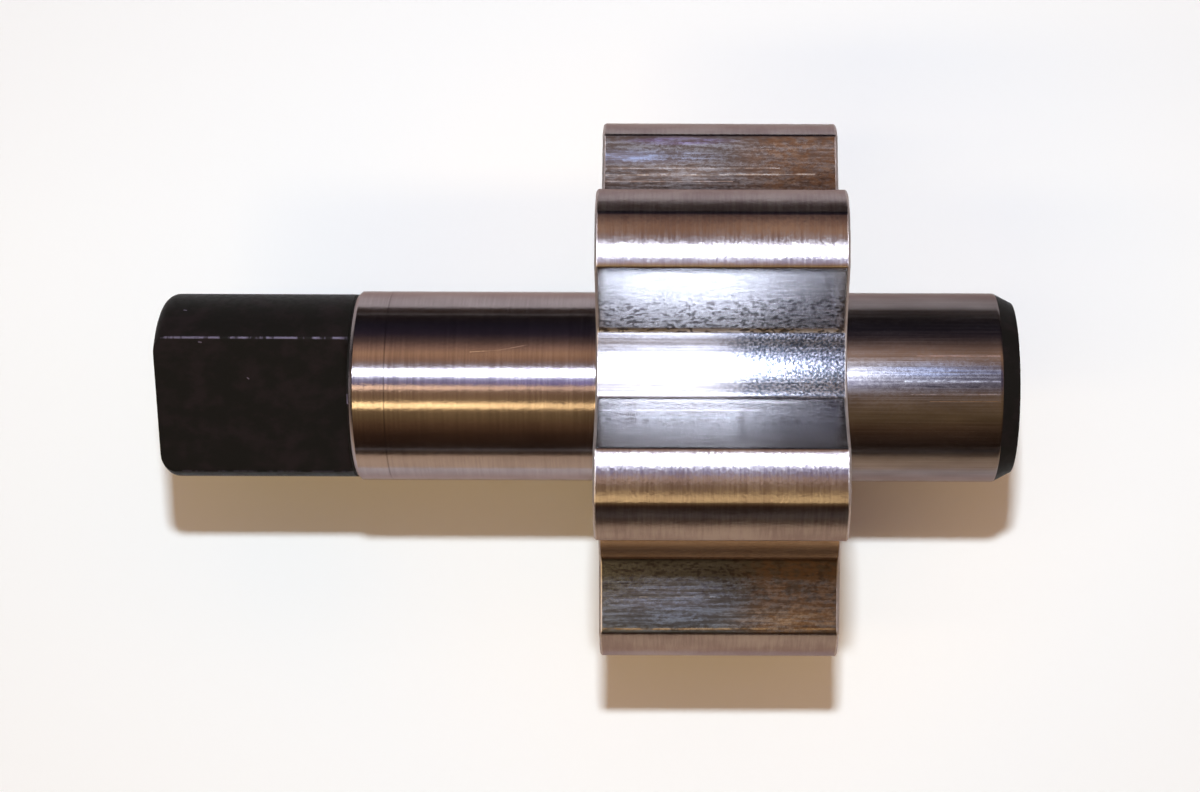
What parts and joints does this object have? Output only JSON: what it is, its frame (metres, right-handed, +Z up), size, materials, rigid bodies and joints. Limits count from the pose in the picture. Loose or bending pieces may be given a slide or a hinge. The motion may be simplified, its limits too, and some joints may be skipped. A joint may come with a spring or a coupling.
{
  "type": "oil pump shaft",
  "caption": "One-piece steel shaft of a gear type oil pump: a black drive tang with two flats, ground journals and a wide spur gear with round-crested teeth.",
  "frame": {"origin": "on the shaft's axis, at the middle of its length", "axes": "+X along the shaft from the drive tang to the plain idle end; +Z up out of the middle of a tooth space, with the part lying on two teeth; +Y across, so that two teeth point along +Y and -Y"},
  "size_m": [0.071, 0.045, 0.0404],
  "materials": {
    "steel": "ground and machined bright, with a black skin left on the tang and on the lead of the idle end"
  },
  "bodies": {
    "root": {"oil_pump_shaft": "steel"}
  },
  "joints": []
}
